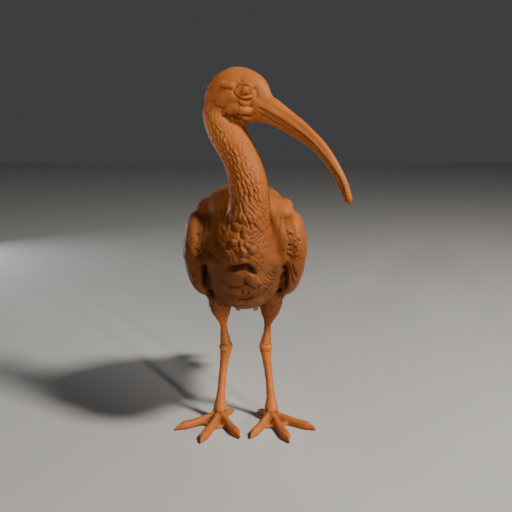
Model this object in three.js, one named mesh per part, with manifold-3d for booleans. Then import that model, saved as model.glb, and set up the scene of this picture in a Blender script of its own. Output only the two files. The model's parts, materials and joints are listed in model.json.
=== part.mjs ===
// An ibis standing on both feet with its head turned to its left, modelled in terracotta as one piece.
// Millimetres, +Z up. While it is built the bird faces -Y and its midline is X = 0 over the ground Z = 0.
import * as THREE from "three";
import { mergeVertices } from "three/addons/utils/BufferGeometryUtils.js";
import Module from "manifold-3d";

// Driving dimensions
const HEAD_CENTRE = new THREE.Vector3(-4.9, -24, 292);
const HEAD_TURN = THREE.MathUtils.degToRad(37);
const NECK_RADIUS = 15.5;
const EYE_RADIUS = 4.1;
const LEG_SPREAD = 23.6;
const ANKLE_HEIGHT = 9;
const HOCK_HEIGHT = 67;
const HOCK_RADIUS = 6;
const SHANK_RADIUS = 3.9;
const TOE_HALF_WIDTH = 4.2;
const TOE_RISE = 4.4;
const CLAW_LENGTH = 9;
const WEB_THICKNESS = 3;
const WEB_REACH = 0.52;
const WEB_CURVE = { outer: 0.58, inner: 0.62 };
const CLUMP_SIZE = 4.6;

// Faces of each tube: round its section, and along it between two stations
const FINE = { sides: 22, steps: 2 };
const MEDIUM = { sides: 14, steps: 2 };
const COARSE = { sides: 10, steps: 1 };

const wasm = await Module();
wasm.setup();

const X_AXIS = new THREE.Vector3(1, 0, 0);
const TURN = Math.PI * 2;

// Head axes: forward along the bill's base, to the bird's right, and up
const FORWARD = new THREE.Vector3(Math.cos(HEAD_TURN), -Math.sin(HEAD_TURN), 0);
const RIGHT = new THREE.Vector3(-Math.sin(HEAD_TURN), -Math.cos(HEAD_TURN), 0);
const UP = new THREE.Vector3(0, 0, 1);

function headPoint(forward, up, right = 0) {
  return HEAD_CENTRE.clone()
    .addScaledVector(FORWARD, forward)
    .addScaledVector(UP, up)
    .addScaledVector(RIGHT, right);
}

// A smooth bump that is 1 at the middle and 0 beyond its width
function bump(distance, width) {
  const x = Math.min(Math.abs(distance) / width, 1);
  return (1 - x * x) * (1 - x * x);
}

// A closed tube through stations { at, wide, above, below }. It starts and ends in a point, its sections lean
// in by bow at their lower end, and relief(along, angle) moves each point outwards.
function tube(stations, { sides, steps }, { side = X_AXIS, bow = 0, relief = () => 0 } = {}) {
  const path = new THREE.CatmullRomCurve3(stations.map((s) => s.at), false, "catmullrom", 0.5);
  const sizes = stations.map((s) => new THREE.Vector3(s.wide, s.above, s.below));
  const sizePath = new THREE.CatmullRomCurve3(sizes, false, "catmullrom", 0.5);
  const rings = (stations.length - 1) * steps;
  const points = [];
  for (let i = 0; i <= rings; i++) {
    const along = i / rings;
    const centre = path.getPoint(along);
    if (i === 0 || i === rings) {
      points.push(centre);
      continue;
    }
    const forward = path.getPoint(Math.min(along + 0.01, 1)).sub(path.getPoint(Math.max(along - 0.01, 0)));
    forward.normalize();
    const across = side.clone().addScaledVector(forward, -forward.dot(side)).normalize();
    const rise = across.clone().cross(forward);
    const size = sizePath.getPoint(along);
    for (let j = 0; j < sides; j++) {
      const angle = (j / sides) * TURN;
      const extra = relief(along, angle);
      const cos = Math.cos(angle);
      const sin = Math.sin(angle);
      const height = sin >= 0 ? size.y : size.z;
      const point = centre.clone();
      point.addScaledVector(across, (size.x + extra) * cos - bow * Math.min(sin, 0) ** 2);
      point.addScaledVector(rise, (height + extra) * sin);
      points.push(point);
    }
  }
  const faces = [];
  const last = points.length - 1;
  for (let j = 0; j < sides; j++) {
    const next = (j + 1) % sides;
    faces.push(0, 1 + j, 1 + next);
    for (let i = 0; i < rings - 2; i++) {
      const a = 1 + i * sides + j;
      const b = 1 + i * sides + next;
      faces.push(a, a + sides, b + sides, a, b + sides, b);
    }
    const end = 1 + (rings - 2) * sides;
    faces.push(last, end + next, end + j);
  }
  const geometry = new THREE.BufferGeometry().setFromPoints(points);
  geometry.setIndex(faces);
  return geometry;
}

function station(at, wide, above = wide, below = above) {
  return { at, wide, above, below };
}

// Rows of [x, y, z, wide, above, below] as stations
function stations(rows) {
  return rows.map(([x, y, z, ...size]) => station(new THREE.Vector3(x, y, z), ...size));
}

function solid(geometry) {
  const bare = new THREE.BufferGeometry();
  bare.setAttribute("position", geometry.getAttribute("position"));
  if (geometry.index) bare.setIndex(geometry.index);
  const merged = mergeVertices(bare, 1e-4);
  const vertProperties = new Float32Array(merged.attributes.position.array);
  const triVerts = new Uint32Array(merged.index.array);
  return new wasm.Manifold(new wasm.Mesh({ numProp: 3, vertProperties, triVerts }));
}

// The same geometry on the bird's other side, its faces turned back to face out
function mirrored(geometry) {
  const other = geometry.clone().applyMatrix4(new THREE.Matrix4().makeScale(-1, 1, 1));
  const index = other.index.array;
  for (let i = 0; i < index.length; i += 3) [index[i + 1], index[i + 2]] = [index[i + 2], index[i + 1]];
  return other;
}

function bothSides(geometry) {
  return [solid(geometry), solid(mirrored(geometry))];
}

// A rounded lobe: an ellipsoid with its axes along the given directions
function lobe(at, sizes, axes, segments = 6) {
  const geometry = new THREE.SphereGeometry(1, segments, Math.max(5, segments - 2));
  const basis = new THREE.Matrix4().makeBasis(...axes);
  const place = new THREE.Matrix4().makeTranslation(at.x, at.y, at.z);
  place.multiply(basis).multiply(new THREE.Matrix4().makeScale(...sizes));
  return geometry.applyMatrix4(place);
}

function joined(solids) {
  return solids.reduce((whole, next) => whole.add(next));
}

// Trunk: from the breast back to the vent, with the mantle on top and a flat tail behind
const TRUNK = tube(
  stations([
    [0, -79, 169, 0, 0, 0],
    [0, -75, 169, 14, 17, 13],
    [0, -65, 168, 25, 30, 26],
    [0, -46, 166, 34, 42, 42],
    [0, -20, 162, 38, 50, 51],
    [0, 10, 157, 39, 54, 48],
    [0, 36, 148, 35, 48, 38],
    [0, 60, 134, 27, 34, 26],
    [0, 82, 120, 18, 19, 15],
    [0, 100, 108, 11, 9, 8],
    [0, 110, 102, 0, 0, 0],
  ]),
  FINE,
);

const MANTLE = tube(
  stations([
    [0, -50, 184, 0, 0, 0],
    [0, -38, 189, 27, 21, 12],
    [0, -16, 191, 36.5, 27, 16],
    [0, 10, 188.5, 36.5, 29, 16],
    [0, 38, 174, 27, 21, 14],
    [0, 60, 156, 17, 12, 10],
    [0, 80, 138, 0, 0, 0],
  ]),
  MEDIUM,
);

const TAIL = tube(
  stations([
    [0, 70, 124, 0, 0, 0],
    [0, 84, 115, 15, 6, 7],
    [0, 104, 104, 17, 5, 5],
    [0, 122, 94, 18, 4, 4],
    [0, 133, 88, 16, 2.5, 2.5],
    [0, 138, 85, 0, 0, 0],
  ]),
  { sides: 12, steps: 1 },
);

// Folded wing: roof-like rows of coverts in front and above, long flight feathers behind and below
const COVERT_ROWS = 11;
const COVERT_STEP = 1.1;
const COVERT_WAVE = 0.35;
const FLIGHT_FEATHERS = 13;
const FLIGHT_RIDGE = 0.8;
function wingRelief(along, angle) {
  const outer = Math.max(Math.cos(angle), 0);
  const below = Math.max(-Math.sin(angle), 0);
  const row = (along * COVERT_ROWS + COVERT_WAVE * (1 + Math.sin(angle * 3))) % 1;
  const coverts = along > 0.12 && along < 0.6 ? row * COVERT_STEP : 0;
  const flights = along > 0.35 ? Math.cos(angle * FLIGHT_FEATHERS) * FLIGHT_RIDGE * below : 0;
  return outer * (coverts + flights);
}

const WING = tube(
  stations([
    [41, -50, 167, 0, 0, 0],
    [41.5, -47, 167, 7, 19, 16],
    [41.6, -37, 166, 9.5, 30, 29],
    [42.2, -15, 161, 10, 33.5, 38],
    [40.6, 12, 153, 10, 32, 37.5],
    [36.2, 36, 143, 9.5, 27, 32],
    [29, 58, 128, 8, 20, 23],
    [20.5, 80, 108, 6, 13, 16],
    [13, 98, 87, 4.5, 7, 9.5],
    [9.5, 112, 72, 0, 0, 0],
  ]),
  MEDIUM,
  { bow: 6, relief: wingRelief },
);

const SCAPULARS = tube(
  stations([
    [33, -30, 188, 0, 0, 0],
    [33, -24, 189, 7, 10, 9],
    [33.5, -4, 191, 9.5, 15, 12],
    [32, 22, 184, 10, 14, 14],
    [26, 48, 167, 9, 10, 12],
    [19, 72, 146, 6, 6, 8],
    [13, 90, 127, 0, 0, 0],
  ]),
  COARSE,
  { bow: 2 },
);

// Neck: an S from the breast up and back to the head, its feathers in long raised strands
const STRANDS = 9;
const STRAND_HEIGHT = 0.7;
function neckRelief(along, angle) {
  const behind = 0.5 - 0.5 * Math.sin(angle);
  const drift = Math.round(along * 36) % 2 === 0 ? 0 : Math.PI / 2;
  return along > 0.4 && along < 0.9 ? behind * STRAND_HEIGHT * Math.cos(angle * STRANDS + drift) : 0;
}

const NECK = tube(
  stations([
    [0, -50, 149, 0, 0, 0],
    [0, -51, 154, 14, 23, 16],
    [0.5, -49, 165, 19, 30, 20],
    [2, -48, 180, 20, 28.5, 20],
    [3.4, -50, 196, 18.3, 22.5, 19],
    [4, -51, 209, 17, 18.5, 18],
    [3.2, -50.5, 222, NECK_RADIUS + 0.8, NECK_RADIUS + 1],
    [0.2, -46.5, 235, NECK_RADIUS],
    [-4.9, -40.5, 247, NECK_RADIUS - 0.4],
    [-11, -33.5, 257, NECK_RADIUS - 0.2],
    [-16.8, -26.5, 267, NECK_RADIUS - 0.2],
    [-20.2, -20.5, 277, NECK_RADIUS - 0.6],
    [-20, -16.5, 287, NECK_RADIUS - 2],
    [-14, -16, 297, 0],
  ]),
  { sides: 18, steps: 2 },
  { relief: neckRelief },
);

// Head and bill, in head coordinates: rows of [forward, up, wide, above, below]
function headStations(rows) {
  return rows.map(([forward, up, ...size]) => station(headPoint(forward, up), ...size));
}

const SKULL = tube(
  headStations([
    [-31, -8, 0],
    [-29, -7.5, 8, 8, 9],
    [-24, -4.5, 13, 14, 14.5],
    [-16, -1, 16.6, 20, 18],
    [-4, 1, 18.3, 23.8, 19.5],
    [8, 1, 17.4, 22.8, 20.5],
    [17, 0, 13.6, 18.3, 21],
    [23.5, -3, 8.6, 12.6, 19.5],
    [28, -7, 5.5, 8, 13],
    [31.5, -9, 0],
  ]),
  { sides: 16, steps: 2 },
  { side: RIGHT },
);

// The mouth line and the nostril groove run along both sides of the bill
const MOUTH_ANGLE = -TURN / 18;
const NOSTRIL_ANGLE = TURN / 9;
const GROOVE_WIDTH = 0.25;
const MOUTH_DEPTH = 0.9;
const NOSTRIL_DEPTH = 0.6;
function billRelief(along, angle) {
  const folded = Math.asin(Math.sin(angle));
  const mouth = along < 0.95 ? bump(folded - MOUTH_ANGLE, GROOVE_WIDTH) : 0;
  const nostril = along > 0.12 && along < 0.7 ? bump(folded - NOSTRIL_ANGLE, GROOVE_WIDTH) : 0;
  return -mouth * MOUTH_DEPTH - nostril * NOSTRIL_DEPTH;
}

const BILL = tube(
  headStations([
    [16, -5, 0],
    [22, -7.5, 10.5, 10.5, 12],
    [30, -9.5, 9.8, 11, 11.6],
    [38, -13, 8.6, 10.2, 10],
    [48, -18.2, 7.4, 9, 8.6],
    [58.4, -23.5, 6.5, 8, 7.8],
    [70.8, -31.2, 5.6, 6.7, 6.4],
    [80.7, -38.8, 5, 5.9, 5.5],
    [89, -47.1, 4.5, 5.2, 4.9],
    [95.4, -55.3, 4.1, 4.7, 4.5],
    [101, -64, 3.8, 4.3, 4.2],
    [105.3, -72.9, 3.6, 4, 3.9],
    [107.4, -78.2, 3.2, 3.4, 3.4],
    [108.2, -81.4, 0],
  ]),
  { sides: 18, steps: 2 },
  { side: RIGHT, relief: billRelief },
);

// Each side of the face: [forward, up, out, length, height, depth]
const EYE = [15.2, 5.6, 12.2];
const LID = { gap: 0.9, thickness: 1.1, out: 1.4, long: 1.2, high: 0.9 };
const FACE_LOBES = [
  [-4.5, -1, 14, 8.5, 8.5, 5.5],
  [-0.5, -10, 13.2, 8.5, 5, 5],
  [13, -10.4, 11, 8.5, 4.8, 4.6],
  [14.5, -17, 6.5, 6.5, 3.2, 4.6],
  [12, 10.6, 11.6, 7, 2.4, 4],
];
const THROAT = lobe(headPoint(7, -18), [8, 4.6, 7], [FORWARD, UP, RIGHT]);

function face(sign) {
  const axes = [FORWARD, UP, RIGHT];
  const lobes = FACE_LOBES.map(([forward, up, right, ...sizes]) =>
    solid(lobe(headPoint(forward, up, right * sign), sizes, axes)),
  );
  const [forward, up, right] = EYE;
  const eye = headPoint(forward, up, right * sign);
  const ball = lobe(eye, [EYE_RADIUS, EYE_RADIUS, EYE_RADIUS], axes, 8);
  const lids = new THREE.TorusGeometry(EYE_RADIUS + LID.gap, LID.thickness, 4, 10);
  lids.applyMatrix4(new THREE.Matrix4().makeScale(LID.long, LID.high, 1));
  lids.applyMatrix4(new THREE.Matrix4().makeBasis(...axes));
  const rim = headPoint(forward, up, (right + LID.out) * sign);
  lids.translate(rim.x, rim.y, rim.z);
  return joined([...lobes, solid(ball), solid(lids)]);
}

// Breast and belly: rounded clumps of feathers, laid on the trunk and the neck where a line from the front
// meets them
const FRONT = [TRUNK, NECK].map(
  (geometry) => new THREE.Mesh(geometry, new THREE.MeshBasicMaterial({ side: THREE.DoubleSide })),
);
const ALONG = new THREE.Vector3(0, 1, 0);

function onFront(x, z) {
  const ray = new THREE.Raycaster(new THREE.Vector3(x, -300, z), ALONG);
  const [hit] = ray.intersectObjects(FRONT);
  return hit;
}

function clump(x, z, wide, high, deep, segments = 5) {
  const hit = onFront(x, z);
  const out = hit.face.normal.clone();
  if (out.y > 0) out.negate();
  const across = UP.clone().cross(out).normalize();
  const rise = out.clone().cross(across);
  return solid(lobe(hit.point, [wide, high, deep], [across, rise, out], segments));
}

const CLUMP_ROWS = 5;
const CLUMP_TOP = 196;
const CLUMP_DEPTH = 1.8;
function breastClumps() {
  const clumps = [];
  for (let row = 0; row < CLUMP_ROWS; row++) {
    const z = CLUMP_TOP - row * CLUMP_SIZE * 1.75;
    const count = row % 2 === 0 ? 3 : 4;
    for (let i = 0; i < count; i++) {
      const x = (i - (count - 1) / 2) * CLUMP_SIZE * 1.9;
      clumps.push(clump(x, z, CLUMP_SIZE * 0.9, CLUMP_SIZE, CLUMP_DEPTH));
    }
  }
  return clumps;
}

// Belly pillows under the breast's overhang, and a bulge on each flank: [x, z, wide, high, deep]
const BELLY = [
  [-9, 140, 12, 8, 3.5],
  [11, 143, 12, 8, 3.5],
  [-8, 125, 9, 6, 3],
  [9, 125, 9, 6, 3],
  [-29, 159, 7, 7, 3],
  [29, 159, 7, 7, 3],
];

// Leg on the bird's left: feathered thigh, bare shin, ringed hock and shank down to the toes
const LEG = tube(
  stations([
    [21, -2, 136, 0, 0, 0],
    [22, 0, 123, 15, 17, 19],
    [22.6, 3, 108, 11, 12, 13],
    [21.8, 5, 100, 8.4],
    [20.8, 6.5, 93.5, 5.2],
    [20.3, 7.5, 89, SHANK_RADIUS * 0.94],
    [19.9, 8, 82, SHANK_RADIUS * 0.97],
    [18.7, 8, HOCK_HEIGHT + 6, HOCK_RADIUS * 0.9],
    [18.2, 8, HOCK_HEIGHT, HOCK_RADIUS * 1.05, HOCK_RADIUS, HOCK_RADIUS * 1.1],
    [18.7, 7.6, HOCK_HEIGHT - 5, HOCK_RADIUS * 0.9],
    [19.5, 7, HOCK_HEIGHT - 12, SHANK_RADIUS * 1.16],
    [21.6, 5, 38, SHANK_RADIUS * 1.03],
    [23, 1.5, 22, SHANK_RADIUS * 1.12],
    [LEG_SPREAD, -1, 13, SHANK_RADIUS * 1.6],
    [LEG_SPREAD, -2, ANKLE_HEIGHT - 2, SHANK_RADIUS * 1.8],
    [LEG_SPREAD, -2, 2, 0],
  ]),
  COARSE,
);

// Toes of the bird's left foot: where each claw's point stands, in X and Y
const TOES = {
  outer: [64, -29.5],
  middle: [38.6, -58],
  inner: [4, -48.5],
  hind: [10, 18.5],
};
const HIND_THICKNESS = 0.8;

// A toe from the ankle to its claw, with a knuckle, a flat sole and a claw curved down
function toe([x, y], thickness = 1) {
  const start = new THREE.Vector3(LEG_SPREAD, -2, 0);
  const tip = new THREE.Vector3(x, y, 0);
  const length = tip.distanceTo(start);
  const wide = TOE_HALF_WIDTH * thickness;
  const rise = TOE_RISE * thickness;
  const nail = CLAW_LENGTH * thickness;
  const at = (distance, height) => start.clone().lerp(tip, distance / length).setZ(height);
  const low = rise * 0.68;
  const rows = [
    [at(-3, ANKLE_HEIGHT - 3), 0],
    [at(3, ANKLE_HEIGHT - 4), wide * 1.15, rise * 1.3],
    [at(length * 0.3, low + 0.4), wide, rise * 1.12],
    [at(length * 0.55, low), wide * 0.92, rise],
    [at(length - nail * 1.3, low), wide, rise],
    [at(length - nail * 0.85, low * 1.05), wide * 0.72, rise * 0.84],
    [at(length - nail * 0.35, low * 0.85), wide * 0.5, rise * 0.62],
    [at(length, 0.6), 0],
  ];
  const side = new THREE.Vector3(start.y - tip.y, tip.x - start.x, 0).normalize();
  const sections = rows.map(([point, ...size]) => station(point, ...size));
  const geometry = tube(sections, { sides: 8, steps: 1 }, { side });
  const position = geometry.getAttribute("position");
  for (let i = 0; i < position.count; i++) position.setZ(i, Math.max(position.getZ(i), 0));
  return geometry;
}

// Skin between two toes: a thin plate whose free edge curves in towards the ankle
function web(first, second, reach) {
  const start = new THREE.Vector2(LEG_SPREAD, -2);
  const a = start.clone().lerp(new THREE.Vector2(...first), WEB_REACH);
  const b = start.clone().lerp(new THREE.Vector2(...second), WEB_REACH);
  const inward = start.clone().lerp(a.clone().add(b).multiplyScalar(0.5), reach);
  const outline = new THREE.Shape();
  outline.moveTo(start.x, start.y);
  outline.lineTo(a.x, a.y);
  outline.quadraticCurveTo(inward.x, inward.y, b.x, b.y);
  outline.closePath();
  const options = { depth: WEB_THICKNESS, bevelEnabled: false, curveSegments: 5 };
  const plate = new THREE.ExtrudeGeometry(outline, options);
  return mergeVertices(plate.deleteAttribute("normal").deleteAttribute("uv"), 1e-4);
}

function legAndFoot() {
  const toes = [toe(TOES.outer), toe(TOES.middle), toe(TOES.inner), toe(TOES.hind, HIND_THICKNESS)];
  const webs = [web(TOES.outer, TOES.middle, WEB_CURVE.outer), web(TOES.middle, TOES.inner, WEB_CURVE.inner)];
  return [LEG, ...toes, ...webs].flatMap(bothSides);
}

function ibis() {
  const whole = joined([
    solid(TRUNK),
    solid(MANTLE),
    solid(TAIL),
    ...bothSides(WING),
    ...bothSides(SCAPULARS),
    solid(NECK),
    solid(SKULL),
    solid(BILL),
    solid(THROAT),
    face(1),
    face(-1),
    ...breastClumps(),
    ...BELLY.map((row) => clump(...row, 7)),
    ...legAndFoot(),
  ]);
  // Small hollows between the joined solids are closed by keeping the outer body alone
  const [body] = whole.decompose().sort((a, b) => b.volume() - a.volume());
  const mesh = body.getMesh();
  const geometry = new THREE.BufferGeometry();
  geometry.setAttribute("position", new THREE.BufferAttribute(mesh.vertProperties, 3));
  geometry.setIndex(new THREE.BufferAttribute(mesh.triVerts, 1));
  return geometry;
}

const figure = new THREE.Mesh(
  ibis(),
  new THREE.MeshStandardMaterial({ color: 0xb0622f, roughness: 0.6, metalness: 0 }),
);
figure.name = "ibis";

// The origin goes under the middle of the figure's box, on the ground
figure.geometry.computeBoundingBox();
const middle = figure.geometry.boundingBox.getCenter(new THREE.Vector3());
figure.position.set(-middle.x, -middle.y, -figure.geometry.boundingBox.min.z);

const root = new THREE.Group();
root.add(figure);

export default root;
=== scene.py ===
# %% [markdown]
# An ibis in fired clay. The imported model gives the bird's form in facets; this lesson rounds it, carves the
# plumage into it and fires it. Blender works in metres, and the carving below is written in millimetres in
# the bird's own frame: X across with the midline at 0, -Y the way the breast faces, Z up from the ground.
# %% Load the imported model
import json
import math
import bpy
import numpy as np
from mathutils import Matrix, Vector


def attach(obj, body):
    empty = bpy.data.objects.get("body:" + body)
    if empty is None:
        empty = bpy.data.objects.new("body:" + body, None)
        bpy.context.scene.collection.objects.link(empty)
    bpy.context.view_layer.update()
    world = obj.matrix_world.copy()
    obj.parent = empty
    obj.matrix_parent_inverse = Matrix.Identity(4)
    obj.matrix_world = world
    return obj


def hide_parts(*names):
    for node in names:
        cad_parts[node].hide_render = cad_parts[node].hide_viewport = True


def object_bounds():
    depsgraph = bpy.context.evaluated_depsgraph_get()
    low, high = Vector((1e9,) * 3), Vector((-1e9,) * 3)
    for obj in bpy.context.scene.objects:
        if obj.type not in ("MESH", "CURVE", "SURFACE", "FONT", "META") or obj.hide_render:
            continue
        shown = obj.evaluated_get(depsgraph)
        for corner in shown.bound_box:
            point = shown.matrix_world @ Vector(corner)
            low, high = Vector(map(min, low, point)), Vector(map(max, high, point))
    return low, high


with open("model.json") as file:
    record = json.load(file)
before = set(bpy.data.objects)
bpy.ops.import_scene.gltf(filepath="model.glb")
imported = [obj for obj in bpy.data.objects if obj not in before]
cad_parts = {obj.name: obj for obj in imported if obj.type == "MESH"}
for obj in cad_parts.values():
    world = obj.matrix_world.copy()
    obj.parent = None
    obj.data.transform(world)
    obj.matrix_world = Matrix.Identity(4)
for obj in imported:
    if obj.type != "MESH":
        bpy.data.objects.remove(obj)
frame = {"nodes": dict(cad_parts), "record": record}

cad_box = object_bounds()
MM = 0.001
SOLE_Y = -14
soles = [Vector(mount["pos_m"]) for mount in frame["record"]["mounts"]]
bird_origin = (soles[0] + soles[1]) / 2 - Vector((0, SOLE_Y * MM, 0))
print("bird's own origin in the model's frame", tuple(round(c / MM, 2) for c in bird_origin), "mm")

# %% [markdown]
# The camera comes first, because the photograph fixes it: a little above the bird, looking at its breast,
# with a moderate lens. Its place is a distance and an elevation round the point that the picture is centred
# on.
# %% Camera
VIEW_ANGLE = math.radians(35)
ELEVATION = math.radians(11)
DISTANCE = 723
AIM = (9.4, 0, 153.5)
SENSOR = 36


def in_model(point):
    """A point of the bird's own frame, in millimetres, as a place in the model, in metres."""
    return bird_origin + Vector(point) * MM


back = Vector((0, -math.cos(ELEVATION), math.sin(ELEVATION)))
camera = bpy.data.objects.new("camera", bpy.data.cameras.new("camera"))
bpy.context.scene.collection.objects.link(camera)
bpy.context.scene.camera = camera
camera.data.sensor_width = SENSOR
camera.data.lens = SENSOR / 2 / math.tan(VIEW_ANGLE / 2)
camera.location = in_model(AIM) + back * DISTANCE * MM
camera.rotation_euler = (-back).to_track_quat("-Z", "Y").to_euler()
print("camera at", tuple(round(c, 3) for c in camera.location), "lens", round(camera.data.lens, 1))

# %% [markdown]
# The clay body is one piece, so one mesh holds it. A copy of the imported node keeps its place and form
# exactly. Its triangles are loose, so they are merged first, and a smooth subdivision rounds the facets.
# %% Copy and round the form
ops = bpy.ops


def only(piece):
    """Selects one object and nothing else."""
    ops.object.select_all(action="DESELECT")
    bpy.context.view_layer.objects.active = piece
    piece.select_set(True)


MERGE = 1e-6
ROUNDING_CUTS = 2
cad_node = frame["nodes"]["ibis"]
bird = cad_node.copy()
bird.data = cad_node.data.copy()
bird.parent = None
bpy.context.scene.collection.objects.link(bird)
only(bird)
ops.object.mode_set(mode="EDIT")
ops.mesh.select_all(action="SELECT")
ops.mesh.remove_doubles(threshold=MERGE)
ops.mesh.subdivide(number_cuts=ROUNDING_CUTS, smoothness=1)
ops.object.mode_set(mode="OBJECT")
print("rounded copy:", len(bird.data.vertices), "points")

# %% [markdown]
# In the photograph the wings meet the breast in a shallow crease, where the solid has a slot. A long ball on
# each side fills the slot; the remesh in the next step turns the balls and the bird into one skin.
# %% Fill the slots beside the breast
PLUG_CENTRE = (32.5, -37, 174)
PLUG_RADII = (4.6, 14, 18)
plugs = []
for side in (-1, 1):
    x, y, z = PLUG_CENTRE
    ops.object.select_all(action="DESELECT")
    place = in_model((side * x, y, z))
    ops.mesh.primitive_uv_sphere_add(segments=24, ring_count=16, radius=1, location=place)
    plug = bpy.context.object
    plug.scale = [radius * MM for radius in PLUG_RADII]
    ops.object.transform_apply(location=True, rotation=True, scale=True)
    plugs.append(plug)
only(bird)
for plug in plugs:
    plug.select_set(True)
ops.object.join()
print("filled copy:", len(bird.data.vertices), "points")

# %% [markdown]
# A voxel remesh turns the copy into an even skin of small squares that can be carved. Even squares would
# spend most of the budget on the plain back, so the mesh is first stretched where the carving is fine, at the
# head, the neck and the feet, then remeshed, then let back. Crumbs that come loose on the way are removed.
# %% Points in and out of a mesh
origin = np.array(bird_origin)


def table(items, key, width=3, kind=float):
    """What a mesh holds for each of its points, edges or faces, one row for each."""
    values = np.empty(len(items) * width, kind)
    items.foreach_get(key, values)
    return values.reshape(-1, width)


def in_bird(places):
    """Places in the model, in metres, as points of the bird's own frame, in millimetres."""
    return (places - origin) / MM


def points_of(piece):
    return in_bird(table(piece.data.vertices, "co"))


def set_points(piece, points):
    piece.data.vertices.foreach_set("co", (points * MM + origin).ravel())
    piece.data.update()


print("points of the copy:", points_of(bird).shape)

# %% The stretch
STRETCH_HEIGHTS = [-5, 25, 95, 110, 200, 225, 262, 278, 330]
STRETCH_SCALES = [1.28, 1.1, 1, 1, 1.1, 1.9, 1.9, 1.9, 1.9]
BILL_X = 30
BILL_HEIGHTS = [205, 225]
BILL_SQUEEZE = 0.6
DEPTHS = [-130, -20, 40, 130]
DEPTH_SCALES = [1, 1, 0.65, 0.65]
AXIS_STEPS = 600


def running_sum(places, scales):
    """Places along an axis, and where each goes when every stretch of the axis is scaled."""
    fine = np.linspace(places[0], places[-1], AXIS_STEPS)
    scale = np.interp(fine, places, scales)
    moved = np.concatenate([[0], np.cumsum((scale[1:] + scale[:-1]) / 2 * np.diff(fine))])
    return fine, moved + places[0]


HEIGHT_FROM, HEIGHT_TO = running_sum(STRETCH_HEIGHTS, STRETCH_SCALES)
DEPTH_FROM, DEPTH_TO = running_sum(DEPTHS, DEPTH_SCALES)


def squeeze(z):
    """How much shorter the skin is made along X where only the bill is, since the bill needs few squares."""
    return np.interp(z, BILL_HEIGHTS, [1, BILL_SQUEEZE])


def stretched(points):
    x, y, z = points.T
    scale = np.interp(z, STRETCH_HEIGHTS, STRETCH_SCALES)
    x = np.where(x > BILL_X, BILL_X + (x - BILL_X) * squeeze(z), x)
    y_even = np.interp(y, DEPTH_FROM, DEPTH_TO)
    return np.column_stack([x * scale, y_even * scale, np.interp(z, HEIGHT_FROM, HEIGHT_TO)])


def let_back(points):
    x, y, z = points.T
    z_real = np.interp(z, HEIGHT_TO, HEIGHT_FROM)
    scale = np.interp(z_real, STRETCH_HEIGHTS, STRETCH_SCALES)
    x = x / scale
    x = np.where(x > BILL_X, BILL_X + (x - BILL_X) / squeeze(z_real), x)
    return np.column_stack([x, np.interp(y / scale, DEPTH_TO, DEPTH_FROM), z_real])


print("stretched height:", round(float(HEIGHT_TO[-1] - HEIGHT_TO[0])), "mm")

# %% Remesh with more detail where it is needed
VOXEL = 1.78
set_points(bird, stretched(points_of(bird)))
only(bird)
remesh = bird.modifiers.new("remesh", "REMESH")
remesh.mode, remesh.voxel_size, remesh.use_smooth_shade = "VOXEL", VOXEL * MM, True
ops.object.modifier_apply(modifier=remesh.name)
set_points(bird, let_back(points_of(bird)))
ops.mesh.separate(type="LOOSE")
bodies = sorted(bpy.context.selected_objects, key=lambda piece: len(piece.data.vertices))
bird = bodies.pop()
for crumb in bodies:
    bpy.data.objects.remove(crumb)
bird.name = "clay_ibis"
print("remeshed:", len(bird.data.polygons), "squares, crumbs removed:", len(bodies))

# %% [markdown]
# The remesh leaves the facets' edges in the skin. Plain averaging with the neighbours takes them out: each
# point moves part of the way to the middle of its neighbours, many times over on the broad forms and a few
# times where the bird is thin, so that toes and bill don't shrink. The tail has become shorter, so its end is
# drawn out again.
# %% Ramps, patches and averaging
def ramp(low, high, value):
    """0 below low, 1 above high, and a smooth rise between."""
    t = np.clip((value - low) / (high - low), 0, 1)
    return t * t * (3 - 2 * t)


def fall(low, high, value):
    """1 below low, 0 above high, and a smooth fall between."""
    return 1 - ramp(low, high, value)


def patch(plane, centre, radii, soft=0.35):
    """1 inside an ellipse, 0 well outside it."""
    u, v = ((plane - np.array(centre)) / np.array(radii)).T
    return fall(1 - soft, 1 + soft, np.hypot(u, v))


def edges_of(piece):
    return table(piece.data.edges, "vertices", 2, int)


def neighbour_mean(values, ends, count):
    """The mean of each point's neighbours, for a value or a place."""
    a, b = ends.T
    columns = values.reshape(len(values), -1).T
    sums = [np.bincount(a, c[b], len(values)) + np.bincount(b, c[a], len(values)) for c in columns]
    return (np.array(sums) / count).T.reshape(values.shape)


def softened(points, ends, share, rounds):
    """The points after some rounds in which each moves a share of the way to its neighbours' mean."""
    count = np.bincount(ends.ravel(), minlength=len(points))
    share = np.reshape(share, (-1, 1))
    for _ in range(rounds):
        points = points + (neighbour_mean(points, ends, count) - points) * share
    return points


print("edges:", len(edges_of(bird)))

# %% Soften the facets
BROAD_ROUNDS, FINE_ROUNDS = 30, 3
HALF_WAY = 0.5
BODY_SHARE = 0.14
BODY_FOOT, NECK_FOOT = (100, 112), (205, 215)
BILL_ROOT, BILL_LOW = (30, 38), (205, 212)
TAIL_ROOT, TAIL_END = (55, 75), (62, 106)
TAIL_STRETCH = 6.3
PANEL = ((31, 177), (7, 20))
PANEL_DEPTH = (20, 32)
HEAD_CENTRE = np.array([-4.9, -24, 292])
HEAD_TURN = math.radians(37)
FORWARD = np.array([math.cos(HEAD_TURN), -math.sin(HEAD_TURN), 0])
OUTWARD = np.array([-math.sin(HEAD_TURN), -math.cos(HEAD_TURN), 0])
points, ends = points_of(bird), edges_of(bird)
x, y, z = points.T
neck_and_head = ramp(*NECK_FOOT, z)
body = ramp(*BODY_FOOT, z) * (1 - neck_and_head) * fall(*TAIL_ROOT, y)
bill = ramp(*BILL_ROOT, (points - HEAD_CENTRE) @ FORWARD) * ramp(*BILL_LOW, z)
panel = patch(np.column_stack([np.abs(x), z]), *PANEL) * ramp(*PANEL_DEPTH, -y)
points = softened(points, ends, HALF_WAY, FINE_ROUNDS)
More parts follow.
